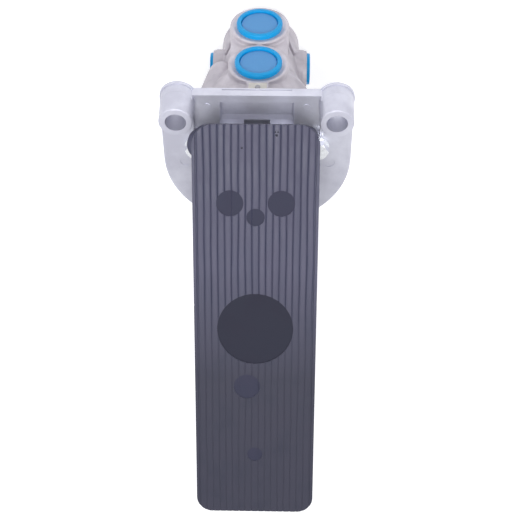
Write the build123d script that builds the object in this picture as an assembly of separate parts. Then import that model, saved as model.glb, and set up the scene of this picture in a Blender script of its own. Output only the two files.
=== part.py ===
from build123d import *
from math import cos, sin, radians
import os

# Foot brake valve: a treadle on a cast mounting plate, with the valve body hung under it.
# Millimetres. The origin is the valve axis on the plate's mounting face.
# +Z points up to the treadle, +Y to its toe, and the heel is at -Y.

# Fits and clearances
running_gap = 0.05
fixed_gap = 0.02
rest_gap = 0.3
seal_gap = 0.15
face_gap = 0.05

# Mounting plate
plate_radius = 62.0
wing_height = 10.5
bolt_spacing = 101.6
bolt_row_heel = 47.0
toe_bolt_spacing = 44.45
toe_bolt_row = 46.0
bolt_hole_radius = 6.75
boss_radius = 10.8
boss_height = 26.5
boss_draft = 0.5
boss_lip = 0.6
boss_lip_height = 2.4
boss_chamfer = 0.6
wing_edge_radius = 1.5
heel_rim_reach = 53.3
heel_rim_height = 7.3
heel_rim_wall = 1.6
bay_half_width = 41.0
bay_floor = 6.5
bay_toe_reach = 23.0
slot_half_length = 22.5
slot_height = 0.9
slot_level = 1.2
slot_depth = 0.5
pocket_half_width = 23.9
pocket_heel_reach = 47.0
pocket_depth = 3.6
pocket_draft = 22.0
ejector_radius = 2.2
ejector_height = 0.5
ejector_x = 32.0
ejector_reach = 43.7
wing_mark_radius = 4.0
wing_mark_depth = 0.3
wing_mark_x = 47.5
well_radius = 22.5
guide_radius = 13.0
guide_top = 12.0
under_pocket_outer = 58.5
under_pocket_inner = 52.5
under_pocket_depth = 6.0
under_pocket_rib = 6.0
under_pocket_angles = (6.0, 46.0)
gasket_seat_depth = 0.8
gasket_seat_play = 0.5

# Treadle pivot
pivot_reach = 27.0
pivot_height = 25.0
pivot_pin_radius = 4.75
lug_gap = 17.0
lug_width = 15.5
lug_radius = 7.5
lug_heel_reach = 32.6
ear_width = 6.5
ear_radius = 9.0
bushing_wall = 1.6
pin_head_radius = 7.0
pin_head_length = 2.6
pin_tail = 5.0
cotter_radius = 1.1
cotter_reach = 3.0

# Treadle and its rubber cover
treadle_angle = 28.0
treadle_length = 277.0
treadle_width = 80.5
heel_edge_reach = 53.2
heel_edge_height = 34.6
cover_thickness = 6.0
rib_height = 1.7
rib_pitch = 4.41
rib_top_width = 2.5
rib_base_width = 3.5
ribs_each_side = 8
edge_rib_width = 2.2
cover_skirt_wall = 2.0
heel_corner_radius = 14.0
toe_corner_radius = 11.0
heel_lip = 2.2
heel_bevel_reach = 4.5
casting_thickness = 5.0
casting_edge_gap = 0.3
rail_width = 4.0
rail_inset = 2.0
rail_depth_heel = 9.0
rail_depth_toe = 3.5
cross_rib_width = 3.0
cross_rib_depth = 4.0
cross_rib_count = 5
lobe_radius = 10.0
lobe_x = 33.4
lobe_s = 14.5
lobe_drop = 2.6
lobe_edge_radius = 3.0

# Flat discs in the cover: distance from the heel edge, sideways place, radius
disc_drop = 0.35
main_disc = (138.0, 0.0, 25.0)
small_discs = [(51.2, 16.4, 8.6), (51.2, -16.4, 8.6), (60.5, 0.0, 5.85), (180.0, 5.4, 8.8), (231.6, 0.0, 5.15)]

# Roller under the treadle
roller_radius = 9.5
roller_width = 14.0
roller_height = 36.0
roller_chamfer = 0.8
roller_pin_radius = 3.95
fork_radius = 7.0
fork_width = 4.6
fork_foot = 24.0

# Plunger and boot
plunger_radius = 9.0
plunger_head_radius = 12.5
plunger_head_height = 4.2
plunger_neck_radius = 8.0
plunger_neck_height = 2.6
plunger_bottom = -5.0
boot_wall = 1.5
boot_outer_radius = 19.0
boot_waist_radius = 15.0
boot_collar_height = 2.4
boot_neck_grip = 1.4

# Valve body
gasket_thickness = 0.5
housing_radius = 40.0
housing_depth = 37.0
cone_depth = 64.0
lower_radius = 28.0
lobe_flange_depth = 14.0
body_screw_circle = 42.3
body_screw_angles = (-160.0, -20.0, 40.0, 140.0)
body_screw_radius = 4.0
body_screw_lobe = 9.0
body_screw_depth = 12.0
plate_hole_play = 0.3
hex_flats = 12.7
hex_height = 6.2
hex_crown = 0.9
washer_radius = 7.6
washer_thickness = 1.6
port_upper_depth = 39.3
port_lower_depth = 81.4
port_face_reach = 41.2
port_boss_radius = 20.5
port_rim_height = 0.6
port_rim_width = 2.6
port_bore_radius = 12.8
port_bore_depth = 12.0
column_half_width = 19.5
column_reach = 38.4
side_face_reach = 33.5
side_boss_radius = 13.5
side_band_height = 2.2
side_band_step = 0.7
side_bore_radius = 8.8
side_bore_depth = 7.0
passage_radius = 4.0
upper_passage_depth = 35.5
lower_passage_depth = 79.5
supply_window_drop = 4.0
bulge_top = (35.0, -15.5, -12.0)
bulge_end = (23.5, -15.0, -67.0)
bulge_top_radius = 11.5
bulge_end_radius = 10.5
neck_pocket_width = 4.6
neck_pocket_length = 15.0
neck_pocket_depth = 3.2
neck_pocket_level = 89.5
neck_pocket_bearing = -39.0
neck_pocket_slant = 40.0

# Port plugs
plug_flange_radius = 15.9
plug_flange_height = 3.4
plug_recess_radius = 12.7
plug_recess_depth = 1.6
plug_stem_length = 10.0
plug_bead = 1.5
plug_bead_share = 0.5
plug_wall = 1.6
plug_floor = 1.5
side_plug_flange_radius = 11.15
side_plug_flange_height = 2.2
side_plug_recess_radius = 8.6
side_plug_stem_length = 6.0
side_plug_bead = 0.9

# Primary piston and its springs
piston_bore_radius = 27.0
piston_bore_depth = 40.0
piston_top_depth = 8.0
piston_skirt_wall = 5.4
piston_floor_top = 22.0
piston_floor_thickness = 5.0
seal_radius = 1.6
seal_groove_play = 0.2
tube_radius = 6.5
tube_bore_radius = 4.0
spring_seat_radius = 16.0
spring_seat_thickness = 4.0
grad_spring_radius = 14.0
grad_spring_waist = 11.0
grad_spring_bore = 5.0
return_spring_radius = 16.0
return_spring_wire = 1.5
return_spring_turns = 3

# Inlet valves, one for each circuit
web_thickness = 5.0
seat_bore_radius = 9.0
seat_ring_width = 1.5
seat_ring_height = 1.0
valve_disc_radius = 12.5
valve_disc_thickness = 3.0
valve_stem_length = 11.0
exhaust_gap = 1.6
valve_spring_radius = 9.3
valve_spring_wire = 0.7
valve_spring_turns = 3
retainer_thickness = 5.0
retainer_drop = 7.0
ring_thickness = 1.2
ring_grip = 1.0
ring_opening = 7.0
valve_bore_radius = 17.0
valve_bore_depth = 64.0

# Relay piston and the secondary circuit
relay_bore_radius = 20.0
relay_top_gap = 1.5
relay_thickness = 6.0
seat_step = 1.0
seat_disc_depth = 86.0
seat_disc_thickness = 5.5
relay_spring_radius = 14.0
relay_spring_wire = 1.3
wire_sides = 8
retainer_skirt_wall = 2.2
window_radius = 3.2
exhaust_end_margin = 0.15

# Exhaust end
exhaust_flange_radius = 27.8
exhaust_flange_height = 3.0
exhaust_dome_radius = 21.0
exhaust_dome_height = 8.0
exhaust_hollow_radius = 17.5
exhaust_floor = 2.6
exhaust_window_radius = 3.4
exhaust_window_circle = 9.5
exhaust_window_count = 6
exhaust_screw_circle = 26.0
exhaust_screw_radius = 1.1
exhaust_screw_head = 1.8
exhaust_screw_head_height = 1.6
exhaust_screw_depth = 7.0
exhaust_screw_count = 4
flap_radius = 14.5
flap_thickness = 1.6
flap_screw_radius = 2.4
flap_head_radius = 5.0
flap_head_height = 2.2
screw_slot_width = 0.9
screw_slot_depth = 0.8

# Inspection tag
tag_width = 12.0
tag_height = 14.3
tag_thickness = 0.7
tag_top = 4.2
tag_pad_proud = 1.6
tag_pin_radius = 1.0
tag_pin_head = 1.7
tag_pin_length = 4.0

# Places that follow from the sizes above
lug_outer = lug_gap / 2 + lug_width
ear_inner = lug_outer + rest_gap
ear_outer = ear_inner + ear_width
roller_reach_y = 0.0
plunger_top = roller_height - roller_radius - rest_gap
head_bottom = plunger_top - plunger_head_height
treadle_place = Location((0, -heel_edge_reach, heel_edge_height), (treadle_angle, 0, 0))
slope = radians(treadle_angle)
bolt_rows = [(bolt_spacing, -bolt_row_heel), (toe_bolt_spacing, toe_bolt_row)]
bolt_places = [(side * spacing / 2, y) for spacing, y in bolt_rows for side in (-1, 1)]
body_top = gasket_seat_depth - gasket_thickness
screw_places = [Location((body_screw_circle * cos(radians(a)), body_screw_circle * sin(radians(a)), 0))
                for a in body_screw_angles]
valve_top_depth = piston_bore_depth + web_thickness + seat_ring_height + face_gap
second_seat_bottom = seat_disc_depth + seat_disc_thickness + seat_ring_height
second_valve_depth = second_seat_bottom + face_gap
second_ring_bottom = (second_valve_depth + valve_disc_thickness + retainer_drop + retainer_thickness
                      + ring_thickness + 2 * face_gap)
body_depth = second_ring_bottom + exhaust_end_margin
side_port_depth = seat_disc_depth
seat_disc_radius = relay_bore_radius + seat_step
piston_bottom = piston_floor_top + piston_floor_thickness
relay_top = valve_bore_depth + relay_top_gap
relay_bottom = relay_top + relay_thickness
tag_pin_z = -tag_top - tag_height * 0.7


def to_treadle(y, z):
    """Turn a point (y, z) of the valve frame into the treadle's own (s, n)."""
    along = y + heel_edge_reach
    up = z - heel_edge_height
    return along * cos(slope) + up * sin(slope), up * cos(slope) - along * sin(slope)


def rod(axis, start, end, radius, at=(0, 0)):
    """A round bar along axis X, Y or Z, from start to end, at the other two coordinates."""
    length = end - start
    bar = Cylinder(radius, length, align=(Align.CENTER, Align.CENTER, Align.MIN))
    if axis == "X":
        return Location((start, at[0], at[1]), (0, 90, 0)) * bar
    if axis == "Y":
        return Location((at[0], start, at[1]), (-90, 0, 0)) * bar
    return Location((at[0], at[1], start)) * bar


def ring(low, high, outer, inner):
    """A washer shape about the valve axis."""
    return rod("Z", low, high, outer) - rod("Z", low - 1, high + 1, inner)


def slab(x0, x1, y0, y1, z0, z1):
    return Pos((x0 + x1) / 2, (y0 + y1) / 2, (z0 + z1) / 2) * Box(x1 - x0, y1 - y0, z1 - z0)


def yz_prism(sketch, x0, x1):
    """Extrude a sketch drawn in (y, z) from x0 to x1."""
    return extrude(Plane(origin=(x0, 0, 0), x_dir=(0, 1, 0), z_dir=(1, 0, 0)) * sketch, x1 - x0)


def turned(points):
    """Revolve a closed (radius, z) outline about the valve axis."""
    return revolve(Plane.XZ * make_face(Polyline(*points, close=True)), Axis.Z)


def hex_screw(shank_radius, shank_length):
    """A hex cap screw with its bearing face at z 0 and its shank below."""
    head = extrude(RegularPolygon(hex_flats / 2, 6, major_radius=False), hex_height)
    crown = rod("Z", 0, hex_height, hex_flats / 2 + hex_crown)
    crown = chamfer(crown.edges().sort_by(Axis.Z)[-1], hex_crown)
    return (head & crown) + rod("Z", -shank_length, 0, shank_radius)


def split_pin(height):
    """A cotter pin along Z, with its eye at the top and its legs bent apart below."""
    stem = rod("Z", -height, height, cotter_radius - running_gap)
    half_width = cotter_radius * 0.7
    eye_place = (0, height + cotter_radius)
    eye = rod("X", -half_width, half_width, cotter_radius * 2, eye_place)
    eye -= rod("X", -cotter_radius, cotter_radius, cotter_radius, eye_place)
    leg = slab(-half_width, half_width, -cotter_radius * 2.6, cotter_radius * 2.6,
               -height - cotter_radius, -height + cotter_radius * 0.2)
    return (stem + leg + eye) - rod("X", -cotter_radius, cotter_radius, cotter_radius * 0.8, eye_place)


def coil(mean_radius, wire, low, high, turns):
    """A compression spring about the valve axis, with one sweep of its wire."""
    rise = high - low - 2 * wire
    path = Pos(0, 0, low + wire) * Helix(rise / turns, rise, mean_radius)
    section = Plane(origin=path @ 0, z_dir=path % 0) * RegularPolygon(wire, wire_sides)
    return sweep(section, path)


# Mounting plate

def plate_outline():
    base_radius = boss_radius + boss_draft
    boss_x = bolt_spacing / 2
    side = boss_x + base_radius
    sketch = Circle(plate_radius) & Pos(0, plate_radius / 2) * Rectangle(2 * plate_radius, plate_radius)
    sketch += Pos(0, -bolt_row_heel / 2) * Rectangle(2 * side, bolt_row_heel)
    rim_half = boss_x - base_radius * 0.5
    rim_length = heel_rim_reach - bolt_row_heel
    sketch += Pos(0, -bolt_row_heel - rim_length / 2) * Rectangle(2 * rim_half, rim_length)
    for side_sign in (-1, 1):
        sketch += Pos(side_sign * boss_x, -bolt_row_heel) * Circle(base_radius)
    return sketch


def mount_boss(x, y):
    """A drafted boss with its machined top face and a flash lip at the parting line."""
    body = Cone(boss_radius + boss_draft, boss_radius, boss_height, align=(Align.CENTER, Align.CENTER, Align.MIN))
    body = chamfer(body.edges().sort_by(Axis.Z)[-1], boss_chamfer)
    lip = Cylinder(boss_radius + boss_draft + boss_lip, boss_lip_height, align=(Align.CENTER, Align.CENTER, Align.MIN))
    return Pos(x, y, 0) * (body + lip)


def hinge_lug(side_sign):
    """One lug for the pivot pin, with the pad that stops the treadle at rest."""
    pin_circle = Pos(-pivot_reach, pivot_height) * Circle(lug_radius)
    foot_y = (-lug_heel_reach, -pivot_reach + lug_radius)
    foot = Pos(sum(foot_y) / 2, bay_floor - 1) * Rectangle(foot_y[1] - foot_y[0], 2)
    profile = make_hull(pin_circle.edges() + foot.edges())
    pivot_s, pivot_n = to_treadle(-pivot_reach, pivot_height)
    pad_level = -cover_thickness - casting_thickness - rest_gap
    pad = Polyline((pivot_s - lug_radius * 0.6, pad_level), (pivot_s - lug_radius * 1.3, pad_level),
                   (pivot_s - lug_radius * 0.95, pivot_n), (pivot_s, pivot_n), close=True)
    pad_face = make_face(pad)
    placed = Location((-heel_edge_reach, heel_edge_height, 0), (0, 0, treadle_angle)) * pad_face
    lug = yz_prism(profile + placed, lug_gap / 2, lug_outer)
    if side_sign < 0:
        lug = mirror(lug, Plane.YZ)
    return lug


def under_pockets(side_sign):
    """Two cored pockets under one wing, with a rib left between them."""
    band = Circle(under_pocket_outer) - Circle(under_pocket_inner)
    low, high = under_pocket_angles
    middle = (low + high) / 2
    half_rib = under_pocket_rib / 2
    reach = under_pocket_outer * 1.5
    cores = None
    for start, end in ((low, middle - half_rib), (middle + half_rib, high)):
        corner_a = (side_sign * reach * cos(radians(start)), reach * sin(radians(start)))
        corner_b = (side_sign * reach * cos(radians(end)), reach * sin(radians(end)))
        wedge = make_face(Polyline((0, 0), corner_a, corner_b, close=True))
        core = extrude(band & wedge, under_pocket_depth)
        cores = core if cores is None else cores + core
    return cores


def mounting_plate():
    outline = plate_outline()
    plate = extrude(outline, wing_height)
    plate = fillet(plate.faces().sort_by(Axis.Z)[-1].outer_wire().edges(), wing_edge_radius)
    rim_inner = -heel_rim_reach + heel_rim_wall
    plate -= slab(-bay_half_width, bay_half_width, rim_inner, -bay_toe_reach, bay_floor, wing_height + 1)
    plate -= slab(-bay_half_width, bay_half_width, -heel_rim_reach - 1, rim_inner + 0.01,
                  heel_rim_height, wing_height + 1)
    pocket_length = pocket_heel_reach - lug_heel_reach
    mouth = Pos(0, -lug_heel_reach - pocket_length / 2, bay_floor) * Rectangle(2 * pocket_half_width, pocket_length)
    plate -= extrude(mouth, -pocket_depth, taper=pocket_draft)
    plate -= rod("Z", bay_floor, wing_height + 1, well_radius)
    plate += rod("Z", 0, guide_top, guide_radius)
    for side_sign in (-1, 1):
        plate += hinge_lug(side_sign)
        plate += rod("Z", bay_floor - 1, bay_floor + ejector_height, ejector_radius,
                     (side_sign * ejector_x, -ejector_reach))
        plate -= rod("Z", wing_height - wing_mark_depth, wing_height + 1, wing_mark_radius,
                     (side_sign * wing_mark_x, 1))
        plate -= under_pockets(side_sign)
    for x, y in bolt_places:
        plate += mount_boss(x, y)
    for x, y in bolt_places:
        plate -= rod("Z", -1, boss_height + 1, bolt_hole_radius, (x, y))
    plate -= slab(-slot_half_length, slot_half_length, -heel_rim_reach - 1, -heel_rim_reach + slot_depth,
                  slot_level, slot_level + slot_height)
    plate -= rod("Z", -1, guide_top + 1, plunger_radius + running_gap)
    plate -= rod("X", -lug_outer - 1, lug_outer + 1, pivot_pin_radius + fixed_gap, (-pivot_reach, pivot_height))
    plate -= extrude(flange_outline(gasket_seat_play), gasket_seat_depth)
    for place in screw_places:
        plate -= place * rod("Z", -1, wing_height + 1, body_screw_radius + plate_hole_play)
    return plate


# Pivot

def pivot_pin():
    head_start = ear_outer + rest_gap
    tail_end = -ear_outer - pin_tail
    pin = rod("X", tail_end, head_start, pivot_pin_radius, (-pivot_reach, pivot_height))
    pin += rod("X", head_start, head_start + pin_head_length, pin_head_radius, (-pivot_reach, pivot_height))
    pin = chamfer(pin.edges().group_by(Axis.X)[0], 0.8)
    cross = rod("Z", -2 * pivot_pin_radius, 2 * pivot_pin_radius, cotter_radius)
    return pin - Pos(tail_end + cotter_reach, -pivot_reach, pivot_height) * cross


def pivot_cotter():
    place = Pos(-ear_outer - pin_tail + cotter_reach, -pivot_reach, pivot_height)
    return place * split_pin(pivot_pin_radius + cotter_radius)


def pivot_bushings():
    outer = pivot_pin_radius + running_gap + bushing_wall
    pair = []
    for side_sign in (-1, 1):
        start = min(side_sign * ear_inner, side_sign * ear_outer)
        tube = rod("X", start, start + ear_width, outer, (-pivot_reach, pivot_height))
        tube -= rod("X", start - 1, start + ear_width + 1, pivot_pin_radius + running_gap,
                    (-pivot_reach, pivot_height))
        pair.append(tube)
    return Compound(children=pair)


# Treadle casting

def casting_outline(margin):
    """The treadle's plan: length along Y from the heel edge, with larger corners at the heel."""
    half = treadle_width / 2 - margin
    heel = margin
    toe = treadle_length - margin
    sketch = make_face(Polyline((-half, heel), (half, heel), (half, toe), (-half, toe), close=True))
    corners = sketch.vertices().sort_by(Axis.Y)
    sketch = fillet(corners[0:2], heel_corner_radius - margin)
    return fillet(sketch.vertices().sort_by(Axis.Y)[-2:], toe_corner_radius - margin)


def under_arm(centre, radius, foot_start, foot_end, x0, x1):
    """An ear or fork arm: a round eye hulled to its foot under the casting, in (s, n)."""
    foot_level = -cover_thickness - casting_thickness / 2
    eye = Pos(*centre) * Circle(radius)
    foot = Pos((foot_start + foot_end) / 2, foot_level) * Rectangle(foot_end - foot_start, 1)
    return yz_prism(make_hull(eye.edges() + foot.edges()), x0, x1)


def treadle_casting():
    underside = -cover_thickness - casting_thickness
    margin = cover_skirt_wall + casting_edge_gap
    casting = Pos(0, 0, underside) * extrude(casting_outline(margin), casting_thickness)
    pivot = to_treadle(-pivot_reach, pivot_height)
    wheel = to_treadle(roller_reach_y, roller_height)
    fork_inner = roller_width / 2 + rest_gap
    rail_outer = treadle_width / 2 - margin - rail_inset
    rail_start = pivot[0] + ear_radius + pin_head_length
    rail_end = treadle_length - toe_corner_radius * 1.5
    rail = make_face(Polyline((rail_start, underside + 1), (wheel[0], underside - rail_depth_heel),
                              (wheel[0] + fork_foot, underside - rail_depth_heel),
                              (rail_end, underside - rail_depth_toe), (rail_end, underside + 1), close=True))
    spine_start = wheel[0] + fork_foot
    spine = make_face(Polyline((spine_start, underside + 1), (spine_start, underside - rail_depth_heel),
                               (rail_end, underside - rail_depth_toe), (rail_end, underside + 1), close=True))
    for side_sign in (-1, 1):
        inner, outer = sorted((side_sign * (rail_outer - rail_width), side_sign * rail_outer))
        casting += yz_prism(rail, inner, outer)
        inner, outer = sorted((side_sign * ear_inner, side_sign * ear_outer))
        casting += under_arm(pivot, ear_radius, pivot[0] - ear_radius, pivot[0] + 2 * ear_radius, inner, outer)
        inner, outer = sorted((side_sign * fork_inner, side_sign * (fork_inner + fork_width)))
        casting += under_arm(wheel, fork_radius, wheel[0] - fork_foot / 2, wheel[0] + fork_foot, inner, outer)
    casting += yz_prism(spine, -rail_width / 2, rail_width / 2)
    step = (rail_end - spine_start) / cross_rib_count
    for index in range(cross_rib_count):
        s = spine_start + cross_rib_width + index * step
        casting += slab(-rail_outer, rail_outer, s, s + cross_rib_width, underside - cross_rib_depth, underside + 1)
    bush_radius = pivot_pin_radius + running_gap + bushing_wall + fixed_gap
    casting -= rod("X", -treadle_width, treadle_width, bush_radius, pivot)
    casting -= rod("X", -treadle_width, treadle_width, roller_pin_radius + fixed_gap, wheel)
    casting -= heel_bevel(casting_edge_gap)
    return treadle_place * casting


def heel_bevel(margin):
    """The wedge cut from under the heel end, so that only a thin lip shows there."""
    floor = -cover_thickness - casting_thickness - 1
    run = heel_bevel_reach / (cover_thickness + casting_thickness - heel_lip)
    end = heel_bevel_reach + run + margin
    wedge = make_face(Polyline((-1, -heel_lip), (margin, -heel_lip), (end, floor), (-1, floor), close=True))
    return yz_prism(wedge, -treadle_width, treadle_width)


def cover_rib(centre, top_width, base_width):
    """One long rib of the tread, a tapered bar along the cover."""
    base = -rib_height - 0.2
    profile = make_face(Polyline((centre - base_width / 2, base), (centre - base_width / 2, -rib_height),
                                 (centre - top_width / 2, 0), (centre + top_width / 2, 0),
                                 (centre + base_width / 2, -rib_height), (centre + base_width / 2, base), close=True))
    return extrude(Plane(origin=(0, 0, 0), x_dir=(1, 0, 0), z_dir=(0, -1, 0)) * profile, -treadle_length)


def treadle_cover():
    underside = -cover_thickness - casting_thickness
    shell = Pos(0, 0, underside) * extrude(casting_outline(0), cover_thickness + casting_thickness - rib_height)
    lobe = rod("Z", underside, -lobe_drop, lobe_radius, (lobe_x, lobe_s))
    lobe = fillet(lobe.edges().sort_by(Axis.Z)[-1], lobe_edge_radius)
    shell += lobe
    hollow_margin = cover_skirt_wall
    hollow = Pos(0, 0, underside - 1) * extrude(casting_outline(hollow_margin), casting_thickness + 1)
    tread = None
    for index in range(-ribs_each_side, ribs_each_side + 1):
        bar = cover_rib(index * rib_pitch, rib_top_width, rib_base_width)
        tread = bar if tread is None else tread + bar
    edge_centre = treadle_width / 2 - edge_rib_width / 2
    for side_sign in (-1, 1):
        tread += cover_rib(side_sign * edge_centre, edge_rib_width, edge_rib_width)
    tread &= Pos(0, 0, -2 * rib_height) * extrude(casting_outline(0), 3 * rib_height)
    discs = None
    for s, x, radius in [main_disc] + small_discs:
        tread -= rod("Z", -2 * rib_height, 1, radius, (x, s))
        disc = rod("Z", -rib_height - 0.2, -disc_drop, radius, (x, s))
        discs = disc if discs is None else discs + disc
    cover = (shell + tread + discs) - hollow - heel_bevel(0)
    return treadle_place * cover


# Roller

def roller():
    wheel = rod("X", -roller_width / 2, roller_width / 2, roller_radius, (roller_reach_y, roller_height))
    wheel = chamfer(wheel.edges().filter_by(GeomType.CIRCLE), roller_chamfer)
    return wheel - rod("X", -roller_width, roller_width, roller_pin_radius + running_gap,
                       (roller_reach_y, roller_height))


def roller_pin():
    head_start = roller_width / 2 + rest_gap + fork_width
    tail_end = -head_start - pin_tail
    pin = rod("X", tail_end, head_start + pin_head_length, roller_pin_radius, (roller_reach_y, roller_height))
    pin += rod("X", head_start, head_start + pin_head_length, roller_pin_radius + 1.8, (roller_reach_y, roller_height))
    cross = rod("Z", -2 * roller_pin_radius, 2 * roller_pin_radius, cotter_radius)
    return pin - Pos(tail_end + cotter_reach, roller_reach_y, roller_height) * cross


def roller_cotter():
    tail_end = -(roller_width / 2 + rest_gap + fork_width) - pin_tail
    return Pos(tail_end + cotter_reach, roller_reach_y, roller_height) * split_pin(roller_pin_radius + cotter_radius)


# Plunger

def plunger():
    neck_bottom = head_bottom - plunger_neck_height
    stem = rod("Z", plunger_bottom, neck_bottom, plunger_radius)
    neck = rod("Z", neck_bottom, head_bottom, plunger_neck_radius)
    head = rod("Z", head_bottom, plunger_top, plunger_head_radius)
    head = chamfer(head.edges().sort_by(Axis.Z)[-1], plunger_head_height * 0.4)
    return stem + neck + head


def plunger_boot():
    """A bellows between the plate's guide and the neck under the plunger's head."""
    base = bay_floor + rest_gap
    top = head_bottom - rest_gap
    collar_inner = guide_radius + rest_gap
    neck_inner = plunger_neck_radius + rest_gap
    rise = top - base
    fold = boot_wall
    outline = [
        (collar_inner, base),
        (collar_inner + 2 * fold, base),
        (collar_inner + 2 * fold, base + boot_collar_height),
        (boot_outer_radius, base + rise * 0.28),
        (boot_waist_radius, base + rise * 0.46),
        (boot_outer_radius - fold, base + rise * 0.62),
        (plunger_head_radius, base + rise * 0.84),
        (plunger_head_radius - fold, top),
        (neck_inner, top),
        (neck_inner, top - boot_neck_grip),
        (plunger_radius + fold, top - boot_neck_grip),
        (plunger_radius + fold, base + rise * 0.80),
        (boot_outer_radius - 2.6 * fold, base + rise * 0.62),
        (boot_waist_radius - fold * 1.1, base + rise * 0.46),
        (boot_outer_radius - 1.8 * fold, base + rise * 0.28),
        (collar_inner, base + boot_collar_height),
    ]
    return turned(outline)


def spring_seat():
    top = plunger_bottom
    seat = rod("Z", top - spring_seat_thickness, top, spring_seat_radius)
    return chamfer(seat.edges().sort_by(Axis.Z)[-1], spring_seat_thickness / 4)


# Primary piston

def primary_piston():
    outer = piston_bore_radius - running_gap
    tip = -(valve_top_depth - exhaust_gap)
    cup = rod("Z", -piston_bottom, -piston_top_depth, outer)
    cup -= rod("Z", -piston_floor_top, 0, outer - piston_skirt_wall)
    cup += rod("Z", tip, -piston_bottom, tube_radius)
    groove_z = -piston_bottom + 2 * seal_radius + 0.6
    groove_depth = 2 * seal_radius + seal_groove_play + seal_gap
    cup -= ring(groove_z - seal_radius - seal_groove_play, groove_z + seal_radius + seal_groove_play,
                outer + 1, outer - groove_depth)
    return cup - rod("Z", tip - 1, -piston_floor_top - piston_floor_thickness / 2, tube_bore_radius)


def piston_seal(outer_radius, z):
    section = RegularPolygon(seal_radius, wire_sides)
    return revolve(Plane.XZ * Pos(outer_radius - seal_gap - seal_radius, z) * section, Axis.Z)


def graduating_spring():
    """The rubber spring that gives the pedal its feel, waisted and bored."""
    low = -piston_floor_top
    high = plunger_bottom - spring_seat_thickness - rest_gap
    middle = (low + high) / 2
    return turned([(grad_spring_bore, low), (grad_spring_radius, low), (grad_spring_radius, low + 2.5),
                   (grad_spring_waist, middle), (grad_spring_radius, high - 2.5), (grad_spring_radius, high),
                   (grad_spring_bore, high)])


def primary_return_spring():
    return coil(return_spring_radius, return_spring_wire, -piston_bore_depth, -piston_bottom - rest_gap,
                return_spring_turns)


# Inlet valves

def inlet_valve(top_depth):
    """A rubber-faced valve disc on a hollow stem, which is also the exhaust way."""
    stem_end = -top_depth - valve_disc_thickness - valve_stem_length
    valve = rod("Z", -top_depth - valve_disc_thickness, -top_depth, valve_disc_radius)
    valve += rod("Z", stem_end, -top_depth, tube_radius)
    return valve - rod("Z", stem_end - 1, -top_depth + 1, tube_bore_radius)


def valve_spring(top_depth):
    high = -top_depth - valve_disc_thickness - face_gap
    low = -top_depth - valve_disc_thickness - retainer_drop + face_gap
    return coil(valve_spring_radius, valve_spring_wire, low, high, valve_spring_turns)


def valve_retainer(top_depth, bore_radius, skirt_top):
    """A guide for the valve's stem; the lower one has a skirt with windows under its seat."""
    high = -top_depth - valve_disc_thickness - retainer_drop
    low = high - retainer_thickness
    outer = bore_radius - fixed_gap
    guide = rod("Z", low, high, outer)
    if skirt_top < top_depth:
        skirt = ring(high, -skirt_top, outer, outer - retainer_skirt_wall)
        window_z = -top_depth - supply_window_drop
        skirt -= rod("X", -2 * outer, 2 * outer, window_radius, (0, window_z))
        skirt -= rod("Y", -2 * outer, 2 * outer, window_radius, (0, window_z))
        guide += skirt
    return guide - rod("Z", low - 1, high + 1, tube_radius + running_gap)


def retaining_ring(top_depth, bore_radius):
    """A C-shaped ring that snaps into the bore under a retainer."""
    high = -top_depth - valve_disc_thickness - retainer_drop - retainer_thickness - face_gap
    shape = ring(high - ring_thickness, high, bore_radius + ring_grip - seal_gap, bore_radius - 2 * ring_grip)
    return shape - slab(0, 2 * bore_radius, -ring_opening / 2, ring_opening / 2, high - 3, high + 1)


def ring_groove(top_depth, bore_radius):
    high = -top_depth - valve_disc_thickness - retainer_drop - retainer_thickness
    return rod("Z", high - ring_thickness - 2 * face_gap, high, bore_radius + ring_grip)


# Relay piston and secondary seat

def relay_piston():
    outer = relay_bore_radius - running_gap
    tip = -(second_valve_depth - exhaust_gap)
    piston = rod("Z", -relay_bottom, -relay_top, outer) + rod("Z", tip, -relay_top, tube_radius)
    middle = -(relay_top + relay_bottom) / 2
    half = seal_radius + seal_groove_play
    groove_depth = 2 * seal_radius + seal_groove_play + seal_gap
    piston -= ring(middle - half, middle + half, outer + 1, outer - groove_depth)
    return piston - rod("Z", tip - 1, 0, tube_bore_radius)


def relay_return_spring():
    return coil(relay_spring_radius, relay_spring_wire, -seat_disc_depth + face_gap, -relay_bottom - face_gap,
                return_spring_turns)


def seat_disc():
    """The secondary inlet seat, a loose disc held up against the step in the bore."""
    outer = seat_disc_radius - fixed_gap
    low = -seat_disc_depth - seat_disc_thickness
    disc = rod("Z", low, -seat_disc_depth, outer)
    disc += rod("Z", low - seat_ring_height, low, seat_bore_radius + seat_ring_width)
    middle = (low - seat_disc_depth) / 2
    half = seal_radius + seal_groove_play
    groove_depth = 2 * seal_radius + seal_groove_play + seal_gap
    disc -= ring(middle - half, middle + half, outer + 1, outer - groove_depth)
    return disc - rod("Z", low - 3, -seat_disc_depth + 1, seat_bore_radius)


# Valve body

def flange_outline(margin):
    sketch = Circle(housing_radius + margin)
    for place in screw_places:
        sketch += place * Circle(body_screw_lobe + margin)
    return sketch


def tapered_boss(start, start_radius, end, end_radius):
    """A cast boss: a cone from start to end with a well rounded far end."""
    axis = Vector(*end) - Vector(*start)
    cone = Cone(start_radius, end_radius, axis.length, align=(Align.CENTER, Align.CENTER, Align.MIN))
    cone = fillet(cone.edges().sort_by(Axis.Z)[-1], end_radius * 0.8)
    return Plane(origin=start, z_dir=axis).location * cone


def port_boss(side_sign, depth):
    """A round port boss with a raised rim about its spot face, facing the heel or the toe."""
    rim = port_face_reach + port_rim_height
    start, end = sorted((0, side_sign * rim))
    boss = rod("Y", start, end, port_boss_radius, (0, -depth))
    start, end = sorted((side_sign * port_face_reach, side_sign * (rim + 1)))
    return boss - rod("Y", start, end, port_boss_radius - port_rim_width, (0, -depth))


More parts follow.
